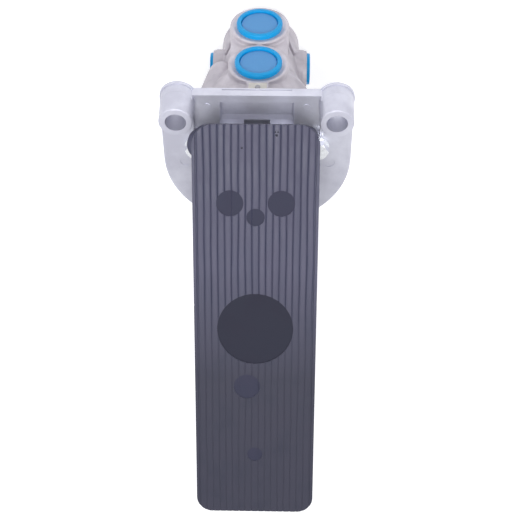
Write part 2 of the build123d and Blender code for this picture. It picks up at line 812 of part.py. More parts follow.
def valve_body():
    body = rod("Z", -housing_depth, body_top, housing_radius)
    cone_length = cone_depth - housing_depth
    body += Pos(0, 0, -cone_depth) * Cone(lower_radius, housing_radius, cone_length,
                                          align=(Align.CENTER, Align.CENTER, Align.MIN))
    body += rod("Z", -body_depth, -cone_depth, lower_radius)
    for place in screw_places:
        body += place * rod("Z", body_top - lobe_flange_depth, body_top, body_screw_lobe)
    body += tapered_boss(bulge_top, bulge_top_radius, bulge_end, bulge_end_radius)
    body += slab(-column_half_width, column_half_width, -column_reach, column_reach,
                 -port_lower_depth, -port_upper_depth)
    for side_sign in (-1, 1):
        for depth in (port_upper_depth, port_lower_depth):
            body += port_boss(side_sign, depth)
        start, end = sorted((0, side_sign * side_face_reach))
        body += rod("X", start, end, side_boss_radius - side_band_step, (0, -side_port_depth))
        start, end = sorted((0, side_sign * (side_face_reach - side_band_height)))
        body += rod("X", start, end, side_boss_radius, (0, -side_port_depth))
    pad_half = tag_width / 2 + 1
    body += slab(-pad_half, pad_half, -housing_radius - tag_pad_proud, -housing_radius / 2,
                 -tag_top - tag_height - 1, -tag_top + 1)
    return body - body_bores()


def neck_pocket(side_sign):
    """A slanted cored pocket in the lower body, between the front port and the side port."""
    width = neck_pocket_width
    slot = Rectangle(width, neck_pocket_length - width)
    for end in (-1, 1):
        slot += Pos(0, end * (neck_pocket_length - width) / 2) * Circle(width / 2)
    bearing = radians(neck_pocket_bearing)
    outward = (side_sign * cos(bearing), sin(bearing), 0)
    reach = lower_radius - neck_pocket_depth
    start = (outward[0] * reach, outward[1] * reach, -neck_pocket_level)
    face = Plane(origin=start, x_dir=(-outward[1], outward[0], 0), z_dir=outward)
    return extrude(face * Rot(0, 0, -side_sign * neck_pocket_slant) * slot, 2 * neck_pocket_depth)


def body_bores():
    """Everything that is machined out of the body casting."""
    bores = rod("Z", -piston_bore_depth, 1, piston_bore_radius)
    web_bottom = piston_bore_depth + web_thickness
    bores += rod("Z", -valve_bore_depth, -web_bottom, valve_bore_radius)
    bores -= ring(-web_bottom - seat_ring_height, -web_bottom, seat_bore_radius + seat_ring_width, seat_bore_radius)
    bores += rod("Z", -web_bottom - 1, -piston_bore_depth + 1, seat_bore_radius)
    bores += rod("Z", -seat_disc_depth, -valve_bore_depth, relay_bore_radius)
    bores += rod("Z", -body_depth - 1, -seat_disc_depth, seat_disc_radius)
    bores += ring_groove(valve_top_depth, valve_bore_radius)
    bores += ring_groove(second_valve_depth, seat_disc_radius)
    for place in screw_places:
        bores += place * rod("Z", -body_screw_depth - 2, 1, body_screw_radius + fixed_gap)
    for side_sign in (-1, 1):
        rim = port_face_reach + 2
        for depth, way in ((port_upper_depth, upper_passage_depth), (port_lower_depth, lower_passage_depth)):
            floor = port_face_reach - port_bore_depth
            start, end = sorted((side_sign * floor, side_sign * rim))
            bores += rod("Y", start, end, port_bore_radius, (0, -depth))
            start, end = sorted((side_sign * valve_bore_radius, side_sign * (floor + 1)))
            bores += rod("Y", start, end, passage_radius, (0, -way))
        floor = side_face_reach - side_bore_depth
        start, end = sorted((side_sign * floor, side_sign * (side_face_reach + 1)))
        bores += rod("X", start, end, side_bore_radius, (0, -side_port_depth))
        start, end = sorted((side_sign * valve_bore_radius, side_sign * (floor + 1)))
        bores += rod("X", start, end, passage_radius, (0, -lower_passage_depth))
        bores += neck_pocket(side_sign)
    bores += rod("Y", tag_face() - 1, tag_face() + tag_pin_length + 1, tag_pin_radius + fixed_gap, (0, tag_pin_z))
    for place in PolarLocations(exhaust_screw_circle, exhaust_screw_count, 45):
        bores += place * rod("Z", -body_depth - 1, -body_depth + exhaust_screw_depth + 1,
                             exhaust_screw_radius + fixed_gap)
    return bores


def flange_gasket():
    sketch = flange_outline(0) - Circle(piston_bore_radius)
    for place in screw_places:
        sketch -= place * Circle(body_screw_radius + plate_hole_play)
    return Pos(0, 0, body_top) * extrude(sketch, gasket_thickness)


def body_screws():
    seat = wing_height + washer_thickness
    return Compound(children=[place * Pos(0, 0, seat) * hex_screw(body_screw_radius, seat + body_screw_depth)
                              for place in screw_places])


def lock_washers():
    washer = ring(wing_height, wing_height + washer_thickness, washer_radius, body_screw_radius + plate_hole_play)
    return Compound(children=[place * washer for place in screw_places])


# Port plugs

def plug(flange_radius, flange_height, recess_radius, stem_radius, stem_length, bead):
    """A moulded shipping plug along +Z, its flange's back at z 0 and its stem below."""
    flange = rod("Z", 0, flange_height, flange_radius)
    flange = chamfer(flange.edges().sort_by(Axis.Z)[-1], bead, bead * plug_bead_share)
    flange -= rod("Z", flange_height - plug_recess_depth, flange_height + 1, recess_radius)
    stem = rod("Z", -stem_length, 0, stem_radius)
    return flange + stem - rod("Z", -stem_length - 1, -plug_floor, stem_radius - plug_wall)


def front_plug(side_sign, depth):
    shape = plug(plug_flange_radius, plug_flange_height, plug_recess_radius, port_bore_radius - running_gap,
                 plug_stem_length, plug_bead)
    turn = 90 if side_sign < 0 else -90
    return Location((0, side_sign * port_face_reach, -depth), (turn, 0, 0)) * shape


def side_plug(side_sign):
    shape = plug(side_plug_flange_radius, side_plug_flange_height, side_plug_recess_radius,
                 side_bore_radius - running_gap, side_plug_stem_length, side_plug_bead)
    return Location((side_sign * side_face_reach, 0, -side_port_depth), (0, side_sign * 90, 0)) * shape


# Exhaust end

def exhaust_cover():
    flange = rod("Z", -body_depth - exhaust_flange_height, -body_depth, exhaust_flange_radius)
    end = -body_depth - exhaust_dome_height
    cover = flange + Pos(0, 0, end) * Cone(exhaust_dome_radius - 2, exhaust_dome_radius, exhaust_dome_height,
                                           align=(Align.CENTER, Align.CENTER, Align.MIN))
    cover -= rod("Z", end + exhaust_floor, -body_depth + 1, exhaust_hollow_radius)
    for place in PolarLocations(exhaust_window_circle, exhaust_window_count):
        cover -= place * rod("Z", end - 1, end + exhaust_floor + 1, exhaust_window_radius)
    cover -= rod("Z", end - 1, end + exhaust_floor + 1, flap_screw_radius + fixed_gap)
    for place in PolarLocations(exhaust_screw_circle, exhaust_screw_count, 45):
        cover -= place * rod("Z", -body_depth - exhaust_flange_height - 1, -body_depth + 1,
                             exhaust_screw_radius + plate_hole_play)
    return cover


def exhaust_cover_screws():
    low = -body_depth - exhaust_flange_height
    shank = rod("Z", low, -body_depth + exhaust_screw_depth, exhaust_screw_radius)
    head = rod("Z", low - exhaust_screw_head_height, low, exhaust_screw_head)
    head -= slab(-exhaust_screw_head, exhaust_screw_head, -screw_slot_width / 2, screw_slot_width / 2,
                 low - exhaust_screw_head_height, low - exhaust_screw_head_height + screw_slot_depth)
    return Compound(children=[place * (shank + head)
                              for place in PolarLocations(exhaust_screw_circle, exhaust_screw_count, 45)])


def exhaust_flap():
    high = -body_depth - exhaust_dome_height - face_gap
    return ring(high - flap_thickness, high, flap_radius, flap_screw_radius + running_gap)


def exhaust_flap_screw():
    seat = -body_depth - exhaust_dome_height - 2 * face_gap - flap_thickness
    shank = rod("Z", seat, seat + flap_thickness + exhaust_floor + 2, flap_screw_radius)
    head = rod("Z", seat - flap_head_height, seat, flap_head_radius)
    head = chamfer(head.edges().sort_by(Axis.Z)[0], flap_head_height / 2)
    head -= slab(-flap_head_radius, flap_head_radius, -screw_slot_width / 2, screw_slot_width / 2,
                 seat - flap_head_height, seat - flap_head_height + screw_slot_depth)
    return shank + head


# Tag

def tag_face():
    return -housing_radius - tag_pad_proud


def inspection_tag():
    middle = -tag_top - tag_height / 2
    tag = slab(-tag_width / 2, tag_width / 2, tag_face() - tag_thickness, tag_face(),
               middle - tag_height / 2, middle + tag_height / 2)
    return tag - rod("Y", tag_face() - 2, tag_face() + 1, tag_pin_radius + fixed_gap, (0, tag_pin_z))


def tag_pin():
    face = tag_face() - tag_thickness
    head = rod("Y", face - tag_thickness, face, tag_pin_head, (0, tag_pin_z))
    return head + rod("Y", face, tag_face() + tag_pin_length, tag_pin_radius, (0, tag_pin_z))


seal_z = -piston_bottom + 2 * seal_radius + 0.6
relay_seal_z = -(relay_top + relay_bottom) / 2
seat_seal_z = -seat_disc_depth - seat_disc_thickness / 2

parts = {
    "mounting_plate": mounting_plate(),
    "treadle_pivot_pin": pivot_pin(),
    "pivot_cotter_pin": pivot_cotter(),
    "pivot_bushings": pivot_bushings(),
    "treadle": treadle_casting(),
    "treadle_cover": treadle_cover(),
    "roller": roller(),
    "roller_pin": roller_pin(),
    "roller_cotter_pin": roller_cotter(),
    "plunger": plunger(),
    "plunger_boot": plunger_boot(),
    "spring_seat": spring_seat(),
    "graduating_spring": graduating_spring(),
    "primary_piston": primary_piston(),
    "primary_piston_seal": piston_seal(piston_bore_radius, seal_z),
    "primary_return_spring": primary_return_spring(),
    "primary_inlet_valve": inlet_valve(valve_top_depth),
    "primary_valve_spring": valve_spring(valve_top_depth),
    "primary_valve_retainer": valve_retainer(valve_top_depth, valve_bore_radius, valve_top_depth),
    "primary_retaining_ring": retaining_ring(valve_top_depth, valve_bore_radius),
    "relay_piston": relay_piston(),
    "relay_piston_seal": piston_seal(relay_bore_radius, relay_seal_z),
    "relay_return_spring": relay_return_spring(),
    "secondary_seat": seat_disc(),
    "secondary_seat_seal": piston_seal(seat_disc_radius, seat_seal_z),
    "secondary_inlet_valve": inlet_valve(second_valve_depth),
    "secondary_valve_spring": valve_spring(second_valve_depth),
    "secondary_valve_retainer": valve_retainer(second_valve_depth, seat_disc_radius,
                                               seat_disc_depth + seat_disc_thickness + fixed_gap),
    "secondary_retaining_ring": retaining_ring(second_valve_depth, seat_disc_radius),
    "valve_body": valve_body(),
    "flange_gasket": flange_gasket(),
    "body_screws": body_screws(),
    "lock_washers": lock_washers(),
    "upper_front_plug": front_plug(-1, port_upper_depth),
    "lower_front_plug": front_plug(-1, port_lower_depth),
    "upper_rear_plug": front_plug(1, port_upper_depth),
    "lower_rear_plug": front_plug(1, port_lower_depth),
    "left_side_plug": side_plug(1),
    "right_side_plug": side_plug(-1),
    "exhaust_cover": exhaust_cover(),
    "exhaust_cover_screws": exhaust_cover_screws(),
    "exhaust_flap": exhaust_flap(),
    "exhaust_flap_screw": exhaust_flap_screw(),
    "inspection_tag": inspection_tag(),
    "tag_pin": tag_pin(),
}

os.makedirs("parts", exist_ok=True)
for name, shape in parts.items():
    export_step(shape, f"parts/{name}.step")
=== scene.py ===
import math

import bmesh
import bpy
from mathutils import Matrix, Vector, noise


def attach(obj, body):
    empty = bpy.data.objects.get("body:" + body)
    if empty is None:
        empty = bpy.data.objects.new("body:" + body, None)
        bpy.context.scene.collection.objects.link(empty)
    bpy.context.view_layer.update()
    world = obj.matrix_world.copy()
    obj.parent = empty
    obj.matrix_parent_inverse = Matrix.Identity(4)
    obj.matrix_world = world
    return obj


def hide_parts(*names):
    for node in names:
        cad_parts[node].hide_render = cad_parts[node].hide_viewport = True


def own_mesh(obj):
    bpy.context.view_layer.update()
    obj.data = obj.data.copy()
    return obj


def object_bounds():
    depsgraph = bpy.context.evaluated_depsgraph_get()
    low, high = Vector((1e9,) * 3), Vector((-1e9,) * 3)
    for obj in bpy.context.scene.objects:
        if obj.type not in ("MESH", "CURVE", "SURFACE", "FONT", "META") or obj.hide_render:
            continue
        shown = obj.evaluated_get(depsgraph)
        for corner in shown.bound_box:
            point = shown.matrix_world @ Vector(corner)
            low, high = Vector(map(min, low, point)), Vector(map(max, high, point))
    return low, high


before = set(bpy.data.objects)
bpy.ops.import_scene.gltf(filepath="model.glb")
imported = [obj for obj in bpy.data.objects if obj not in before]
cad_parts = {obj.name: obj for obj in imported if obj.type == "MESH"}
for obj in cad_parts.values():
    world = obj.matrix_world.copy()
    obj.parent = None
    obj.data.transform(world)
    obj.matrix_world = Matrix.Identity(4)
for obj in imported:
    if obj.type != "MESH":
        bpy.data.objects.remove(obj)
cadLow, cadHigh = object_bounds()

mm = 0.001
scene = bpy.context.scene
scene.view_settings.view_transform = "Standard"
print("frame loaded, nodes:", len(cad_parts))


# camera, solved from corners of the casting and of the tread
cameraSet = {
    "place": (-0.016256, -0.535209, 0.577811),
    "azimuth": -1.356,
    "elevation": 41.784,
    "roll": 181.537,   # the photograph shows the valve head down
    "lens": 80.7,
}


def makeCamera(values):
    azimuth, elevation, roll = [math.radians(values[key]) for key in ("azimuth", "elevation", "roll")]
    back = Vector((math.sin(azimuth) * math.cos(elevation),
                   -math.cos(azimuth) * math.cos(elevation), math.sin(elevation)))
    right = Vector((0, 0, 1)).cross(back).normalized()
    up = back.cross(right)
    turnedRight = right * math.cos(roll) + up * math.sin(roll)
    turnedUp = up * math.cos(roll) - right * math.sin(roll)
    data = bpy.data.cameras.new("camera")
    data.lens = values["lens"]
    data.sensor_width = 36
    data.clip_start = 0.01
    camera = bpy.data.objects.new("camera", data)
    scene.collection.objects.link(camera)
    camera.matrix_world = Matrix((
        (turnedRight.x, turnedUp.x, back.x, values["place"][0]),
        (turnedRight.y, turnedUp.y, back.y, values["place"][1]),
        (turnedRight.z, turnedUp.z, back.z, values["place"][2]),
        (0, 0, 0, 1)))
    scene.camera = camera


makeCamera(cameraSet)


# shader helpers
def addNode(tree, kind, **settings):
    node = tree.nodes.new(kind)
    for key, value in settings.items():
        setattr(node, key, value)
    return node


def setInputs(node, **values):
    for key, value in values.items():
        node.inputs[key.replace("_", " ")].default_value = value


def newGroup(name, inputs, outputs):
    group = bpy.data.node_groups.new(name, "ShaderNodeTree")
    for label, kind, value in inputs:
        group.interface.new_socket(label, in_out="INPUT", socket_type=kind).default_value = value
    for label, kind in outputs:
        group.interface.new_socket(label, in_out="OUTPUT", socket_type=kind)
    return group, group.nodes.new("NodeGroupInput"), group.nodes.new("NodeGroupOutput")


def noiseNode(tree, place, scaleSocket, factor, detail, roughness=0.55):
    size = addNode(tree, "ShaderNodeMath", operation="MULTIPLY")
    tree.links.new(scaleSocket, size.inputs[0])
    size.inputs[1].default_value = factor
    cloud = addNode(tree, "ShaderNodeTexNoise")
    setInputs(cloud, Detail=detail, Roughness=roughness)
    tree.links.new(place, cloud.inputs["Vector"])
    tree.links.new(size.outputs[0], cloud.inputs["Scale"])
    return cloud.outputs["Fac"]


def rangeNode(tree, source, fromLow, fromHigh, toLow, toHigh):
    node = addNode(tree, "ShaderNodeMapRange")
    tree.links.new(source, node.inputs["Value"])
    for key, value in (("From Min", fromLow), ("From Max", fromHigh), ("To Min", toLow), ("To Max", toHigh)):
        node.inputs[key].default_value = value
    return node.outputs["Result"]


def mixColours(tree, factor, first, second):
    node = addNode(tree, "ShaderNodeMix", data_type="RGBA")
    for source, key in ((factor, 0), (first, 6), (second, 7)):
        tree.links.new(source, node.inputs[key])
    return node.outputs[2]


def combine(tree, operation, first, second):
    node = addNode(tree, "ShaderNodeMath", operation=operation)
    tree.links.new(first, node.inputs[0])
    if isinstance(second, (int, float)):
        node.inputs[1].default_value = second
    else:
        tree.links.new(second, node.inputs[1])
    return node.outputs[0]


# mottled skin that every finish shares: broad clouds, patches and a fine grain
def makeSkinGroup():
    group, source, target = newGroup(
        "mottledSkin",
        [("Colour", "NodeSocketColor", (0.5, 0.5, 0.5, 1)), ("Second Colour", "NodeSocketColor", (0.4, 0.4, 0.4, 1)),
         ("Patch Scale", "NodeSocketFloat", 60), ("Patch Amount", "NodeSocketFloat", 0.5),
         ("Grain Scale", "NodeSocketFloat", 1500), ("Gloss Low", "NodeSocketFloat", 0.4),
         ("Gloss High", "NodeSocketFloat", 0.55)],
        [("Colour", "NodeSocketColor"), ("Roughness", "NodeSocketFloat"), ("Height", "NodeSocketFloat"),
         ("Mask", "NodeSocketFloat")])
    place = addNode(group, "ShaderNodeTexCoord").outputs["Object"]
    patches = noiseNode(group, place, source.outputs["Patch Scale"], 1, 4, 0.6)
    clouds = noiseNode(group, place, source.outputs["Patch Scale"], 0.3, 2)
    grain = noiseNode(group, place, source.outputs["Grain Scale"], 1, 2)
    both = combine(group, "ADD", patches, clouds)
    mask = rangeNode(group, both, 0.82, 1.2, 0, 1)
    amount = combine(group, "MULTIPLY", mask, source.outputs["Patch Amount"])
    colour = mixColours(group, amount, source.outputs["Colour"], source.outputs["Second Colour"])
    spread = combine(group, "SUBTRACT", source.outputs["Gloss High"], source.outputs["Gloss Low"])
    rough = combine(group, "MULTIPLY", mask, spread)
    rough = combine(group, "ADD", rough, source.outputs["Gloss Low"])
    height = combine(group, "ADD", grain, combine(group, "MULTIPLY", patches, 0.6))
    for value, label in ((colour, "Colour"), (rough, "Roughness"), (height, "Height"), (mask, "Mask")):
        group.links.new(value, target.inputs[label])
    return group


mottledSkin = makeSkinGroup()


def startMaterial(name, values):
    material = bpy.data.materials.new(name)
    material.use_nodes = True
    tree = material.node_tree
    shader = tree.nodes["Principled BSDF"]
    skin = addNode(tree, "ShaderNodeGroup", node_tree=mottledSkin)
    skin.inputs["Colour"].default_value = (*values["colour"], 1)
    skin.inputs["Second Colour"].default_value = (*values["second"], 1)
    skin.inputs["Patch Scale"].default_value = 1 / (values["patch"] * mm)
    skin.inputs["Patch Amount"].default_value = values["patchAmount"]
    skin.inputs["Grain Scale"].default_value = 1 / (values["grain"] * mm)
    skin.inputs["Gloss Low"].default_value = values["rough"][0]
    skin.inputs["Gloss High"].default_value = values["rough"][1]
    shader.inputs["Metallic"].default_value = values.get("metal", 0)
    shader.inputs["Specular IOR Level"].default_value = values.get("specular", 0.5)
    shader.inputs["Coat Weight"].default_value = values.get("coat", 0)
    shader.inputs["Sheen Weight"].default_value = values.get("sheen", 0)
    bump = addNode(tree, "ShaderNodeBump")
    bump.inputs["Strength"].default_value = 1
    bump.inputs["Distance"].default_value = values["depth"] * mm
    tree.links.new(skin.outputs["Height"], bump.inputs["Height"])
    tree.links.new(skin.outputs["Roughness"], shader.inputs["Roughness"])
    tree.links.new(bump.outputs["Normal"], shader.inputs["Normal"])
    return material, tree, shader, skin


def plainMaterial(name, values):
    material, tree, shader, skin = startMaterial(name, values)
    tree.links.new(skin.outputs["Colour"], shader.inputs["Base Color"])
    return material


def levelMask(tree, direction, low, high):
    # 0 to 1 along a direction in the row frame, between two distances from the origin in millimetres
    place = addNode(tree, "ShaderNodeTexCoord").outputs["Object"]
    along = addNode(tree, "ShaderNodeVectorMath", operation="DOT_PRODUCT")
    tree.links.new(place, along.inputs[0])
    along.inputs[1].default_value = direction
    return rangeNode(tree, along.outputs["Value"], low * mm, high * mm, 0, 1)


# finishes
finishes = {
    "castPlate": {"colour": (0.60, 0.605, 0.69), "second": (0.50, 0.50, 0.585), "patch": 12, "patchAmount": 0.85,
                  "grain": 0.8, "rough": (0.34, 0.5), "metal": 0.52, "depth": 0.03},
    "castBody": {"colour": (0.57, 0.535, 0.58), "second": (0.43, 0.40, 0.445), "patch": 9, "patchAmount": 0.8,
                 "grain": 0.55, "rough": (0.42, 0.55), "metal": 0.4, "depth": 0.07},
    "treadleCasting": {"colour": (0.05, 0.05, 0.055), "second": (0.09, 0.085, 0.085), "patch": 9,
                       "patchAmount": 0.6, "grain": 0.7, "rough": (0.4, 0.58), "depth": 0.05},
    "zincSteel": {"colour": (0.84, 0.86, 0.9), "second": (0.72, 0.73, 0.77), "patch": 3, "patchAmount": 0.5,
                  "grain": 0.4, "rough": (0.14, 0.25), "metal": 0.95, "depth": 0.01},
    "bareSteel": {"colour": (0.52, 0.52, 0.55), "second": (0.4, 0.39, 0.4), "patch": 4, "patchAmount": 0.5,
                  "grain": 0.3, "rough": (0.24, 0.4), "metal": 0.95, "depth": 0.01},
    "springSteel": {"colour": (0.26, 0.26, 0.28), "second": (0.18, 0.17, 0.17), "patch": 3, "patchAmount": 0.6,
                    "grain": 0.3, "rough": (0.3, 0.45), "metal": 0.9, "depth": 0.01},
    "boltedRubber": {"colour": (0.022, 0.022, 0.025), "second": (0.05, 0.05, 0.055), "patch": 6,
                     "patchAmount": 0.7, "grain": 0.35, "rough": (0.5, 0.68), "depth": 0.03, "sheen": 0.1},
    "bronze": {"colour": (0.5, 0.33, 0.16), "second": (0.33, 0.21, 0.1), "patch": 3, "patchAmount": 0.6,
               "grain": 0.3, "rough": (0.35, 0.5), "metal": 0.9, "depth": 0.01},
    "pistonAlloy": {"colour": (0.62, 0.62, 0.65), "second": (0.52, 0.52, 0.54), "patch": 5, "patchAmount": 0.4,
                    "grain": 0.3, "rough": (0.25, 0.36), "metal": 0.85, "depth": 0.01},
    "gasketBoard": {"colour": (0.16, 0.15, 0.14), "second": (0.24, 0.22, 0.2), "patch": 2, "patchAmount": 0.8,
                    "grain": 0.2, "rough": (0.75, 0.9), "depth": 0.03},
    "creamTag": {"colour": (0.83, 0.80, 0.74), "second": (0.72, 0.68, 0.6), "patch": 5, "patchAmount": 0.5,
                 "grain": 0.4, "rough": (0.45, 0.6), "depth": 0.02},
}
made = {name: plainMaterial(name, values) for name, values in finishes.items()}

treadleTilt = math.radians(28)
treadleHeel = Vector((0, -53.2, 34.6))   # heel edge of the tread at its rib tops, millimetres
treadUp = Vector((0, -math.sin(treadleTilt), math.cos(treadleTilt)))
treadAlong = Vector((0, math.cos(treadleTilt), math.sin(treadleTilt)))
treadLevel = treadleHeel.dot(treadUp)
treadAtHeel = treadleHeel.dot(treadAlong)

rubberSet = {"colour": (0.046, 0.049, 0.088), "second": (0.064, 0.062, 0.102), "patch": 9, "patchAmount": 0.6,
             "grain": 0.5, "rough": (0.42, 0.6), "depth": 0.03, "specular": 0.35,
             # worn is the lighter rib-top colour: part wear, part painted highlight
             "worn": (0.080, 0.077, 0.122), "wornHighlightDepth": 0.3, "streak": 5, "streakLength": 90,
             # painted shade: toeShade darkens the tread's colour towards the toe, between toeShadeFrom and toeShadeTo
             "toeShadeFrom": 95.0, "toeShadeTo": 175.0, "toeShade": 0.5}
# painted shade: the disc and badge tops are darker copies of the rib rubber, with a duller finish
shadedFlatSet = {"shadeShares": {"disc": 0.65, "badge": 0.38}, "rough": (0.55, 0.7), "specular": 0.18}   # darker than the ribs


def treadMaterial(values):
    material, tree, shader, skin = startMaterial("treadRubber", values)
    # painted highlight and wear: the band within wornHighlightDepth of the rib tops takes the lighter worn colour,
    # broken by streaks
    high = levelMask(tree, treadUp, treadLevel - values["wornHighlightDepth"], treadLevel)
    place = addNode(tree, "ShaderNodeTexCoord").outputs["Object"]
    stretch = addNode(tree, "ShaderNodeMapping")
    stretch.inputs["Rotation"].default_value = (-treadleTilt, 0, 0)
    stretch.inputs["Scale"].default_value = (1 / (values["streak"] * mm), 1 / (values["streakLength"] * mm), 1)
    tree.links.new(place, stretch.inputs["Vector"])
    streaks = addNode(tree, "ShaderNodeTexNoise")
    setInputs(streaks, Scale=1, Detail=3)
    tree.links.new(stretch.outputs["Vector"], streaks.inputs["Vector"])
    # painted shade: 0 to 1 going towards the toe; it darkens the colour there and fades out the lighter rib tops
    paintedToeShadeRamp = levelMask(tree, treadAlong, treadAtHeel + values["toeShadeFrom"], treadAtHeel + values["toeShadeTo"])
    wearAndHighlight = combine(tree, "MULTIPLY", high, rangeNode(tree, streaks.outputs["Fac"], 0.35, 0.7, 0.3, 1))
    wearAndHighlight = combine(tree, "MULTIPLY", wearAndHighlight, rangeNode(tree, paintedToeShadeRamp, 0, 1, 1, 0.15))
    # the worn colour lightens the rib tops: part real wear, part painted highlight
    worn = addNode(tree, "ShaderNodeMix", data_type="RGBA")
    worn.inputs[7].default_value = (*values["worn"], 1)
    tree.links.new(wearAndHighlight, worn.inputs[0])
    tree.links.new(skin.outputs["Colour"], worn.inputs[6])
    # the painted shade towards the toe is multiplied into the colour here
    shade = addNode(tree, "ShaderNodeMix", data_type="RGBA", blend_type="MULTIPLY")
    shade.inputs[7].default_value = (values["toeShade"], values["toeShade"], values["toeShade"], 1)
    tree.links.new(paintedToeShadeRamp, shade.inputs[0])
    tree.links.new(worn.outputs[2], shade.inputs[6])
    tree.links.new(shade.outputs[2], shader.inputs["Base Color"])
    return material


treadRubber = treadMaterial(rubberSet)


# a darker copy of the tread rubber, as painted shade
def shadedFlatMaterial(name, share):
    values = dict(rubberSet, rough=shadedFlatSet["rough"], specular=shadedFlatSet["specular"])
    for key in ("colour", "second"):
        values[key] = tuple(channel * share for channel in rubberSet[key])
    return plainMaterial(name, values)


shadedFlatRubber = [shadedFlatMaterial(name + "Rubber", share) for name, share in shadedFlatSet["shadeShares"].items()]

blueSet = {"colour": (0.006, 0.35, 0.74), "second": (0.006, 0.32, 0.69), "patch": 8, "patchAmount": 0.4,
           "grain": 1.2, "rough": (0.24, 0.34), "depth": 0.01, "specular": 0.25}
blueFloorSet = {"colour": (0.085, 0.30, 0.62), "second": (0.10, 0.32, 0.64), "patch": 6, "patchAmount": 0.7,
                "grain": 0.5, "rough": (0.42, 0.55), "depth": 0.02, "specular": 0.4}
bluePlastic = plainMaterial("bluePlastic", blueSet)
blueFloor = plainMaterial("blueFloor", blueFloorSet)
print("materials made:", len(bpy.data.materials))


# mesh helpers
def linkMesh(name, mesh, finish):
    piece = bpy.data.objects.new(name, mesh)
    scene.collection.objects.link(piece)
    if mesh.materials:
        mesh.materials.clear()   # this also resets each face's material
    for material in finish if isinstance(finish, (list, tuple)) else [finish]:
        mesh.materials.append(material)
    return piece


def fromBmesh(name, bm, finish):
    bmesh.ops.recalc_face_normals(bm, faces=bm.faces)
    mesh = bpy.data.meshes.new(name)
    bm.to_mesh(mesh)
    bm.free()
    return linkMesh(name, mesh, finish)


def settle(piece):
    graph = bpy.context.evaluated_depsgraph_get()
    mesh = bpy.data.meshes.new_from_object(piece.evaluated_get(graph))
    old = piece.data
    piece.modifiers.clear()
    piece.data = mesh
    bpy.data.meshes.remove(old)
    return piece


def smoothShade(piece, degrees=35):
    limit = math.radians(degrees)
    bm = bmesh.new()
    bm.from_mesh(piece.data)
    for face in bm.faces:
        face.smooth = True
    for edge in bm.edges:
        edge.smooth = len(edge.link_faces) == 2 and edge.calc_face_angle(0) < limit
    bm.to_mesh(piece.data)
    bm.free()
    return piece


def cutWith(piece, tool, operation):
    cut = piece.modifiers.new(operation.lower(), "BOOLEAN")
    cut.operation = operation
    cut.solver = "EXACT"
    cut.object = tool
    settle(piece)
    bpy.data.objects.remove(tool)
    return piece


def weldedCopy(node, name, finish):
    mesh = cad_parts[node].data.copy()
    bm = bmesh.new()
    bm.from_mesh(mesh)
    bmesh.ops.remove_doubles(bm, verts=bm.verts, dist=1e-6)
    bm.to_mesh(mesh)
    bm.free()
    return linkMesh(name, mesh, finish)


def crispCopy(node, name, finish, body, values):
    # a casting that keeps its flat faces and gets a small round on each corner
    piece = weldedCopy(node, name, made[finish])
    bm = bmesh.new()
    bm.from_mesh(piece.data)
    bmesh.ops.dissolve_limit(bm, angle_limit=math.radians(1), verts=bm.verts, edges=bm.edges)
    bmesh.ops.triangulate(bm, faces=[face for face in bm.faces if len(face.verts) > 4])
    for face in bm.faces:
        face.smooth = True
    bm.to_mesh(piece.data)
    bm.free()
    bevel = piece.modifiers.new("round", "BEVEL")
    bevel.width = values["round"] * mm
    bevel.segments = values["segments"]
    bevel.limit_method = "ANGLE"
    bevel.angle_limit = math.radians(values["crease"])
    bevel.use_clamp_overlap = True
    piece.modifiers.new("flats", "WEIGHTED_NORMAL").weight = 80
    settle(piece)
    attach(piece, body)
    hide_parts(node)
    print("casting", name, "faces", len(piece.data.polygons))
    return piece


def castCopy(node, name, finish, body, values):
    # a casting keeps the frame's own form and gets the soft corners of its mould
    piece = weldedCopy(node, name, made[finish])
    remesh = piece.modifiers.new("skin", "REMESH")
    remesh.mode = "VOXEL"
    remesh.voxel_size = values["voxel"] * mm
    soften = piece.modifiers.new("soften", "SMOOTH")
    soften.factor = 0.5
    soften.iterations = values["softening"]
    thin = piece.modifiers.new("thin", "DECIMATE")
    thin.ratio = values["share"]
    settle(piece)
    smoothShade(piece, values["crease"])
    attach(piece, body)
    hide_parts(node)
    print("casting", name, "faces", len(piece.data.polygons))
    return piece


def lathe(name, profile, finish, segments=96, partOf=None):
    # turns (radius, height) points in millimetres about Z; partOf gives a material index for each step
    bm = bmesh.new()
    rings = []
    for radius, height in profile:
        if radius < 1e-6:
            rings.append([bm.verts.new((0, 0, height * mm))])
            continue
        turn = [2 * math.pi * index / segments for index in range(segments)]
        rings.append([bm.verts.new((radius * mm * math.cos(a), radius * mm * math.sin(a), height * mm)) for a in turn])
    for step, (low, high) in enumerate(zip(rings, rings[1:] + rings[:1])):
        if len(low) == 1 and len(high) == 1:
            continue
        for index in range(segments):
            following = (index + 1) % segments
            corners = [low[index % len(low)], low[following % len(low)],
                       high[following % len(high)], high[index % len(high)]]
            corners = list(dict.fromkeys(corners))
            face = bm.faces.new(corners)
            face.material_index = partOf(step) if partOf else 0
    return fromBmesh(name, bm, finish)


def roundCorner(points, radius, steps=5):
    # the outline with each inner corner replaced by a small arc
    out = [points[0]]
    for before, corner, after in zip(points, points[1:], points[2:]):
        a, b, c = Vector(before), Vector(corner), Vector(after)
        reach = min(radius, (a - b).length * 0.45, (c - b).length * 0.45)
        start, end = b + (a - b).normalized() * reach, b + (c - b).normalized() * reach
        for step in range(steps + 1):
            t = step / steps
            out.append(tuple(start.lerp(b, t).lerp(b.lerp(end, t), t)))
    return out + [points[-1]]


# castings
castSet = {
    "plate": {"round": 0.4, "segments": 2, "crease": 28},
    "body": {"voxel": 0.65, "softening": 5, "share": 0.5, "crease": 50},
    "treadle": {"voxel": 0.9, "softening": 2, "share": 0.5, "crease": 40},
}
crispCopy("mounting_plate", "plateCasting", "castPlate", "plate_and_body", castSet["plate"])
castCopy("valve_body", "bodyCasting", "castBody", "plate_and_body", castSet["body"])
castCopy("treadle", "treadleCasting", "treadleCasting", "treadle", castSet["treadle"])


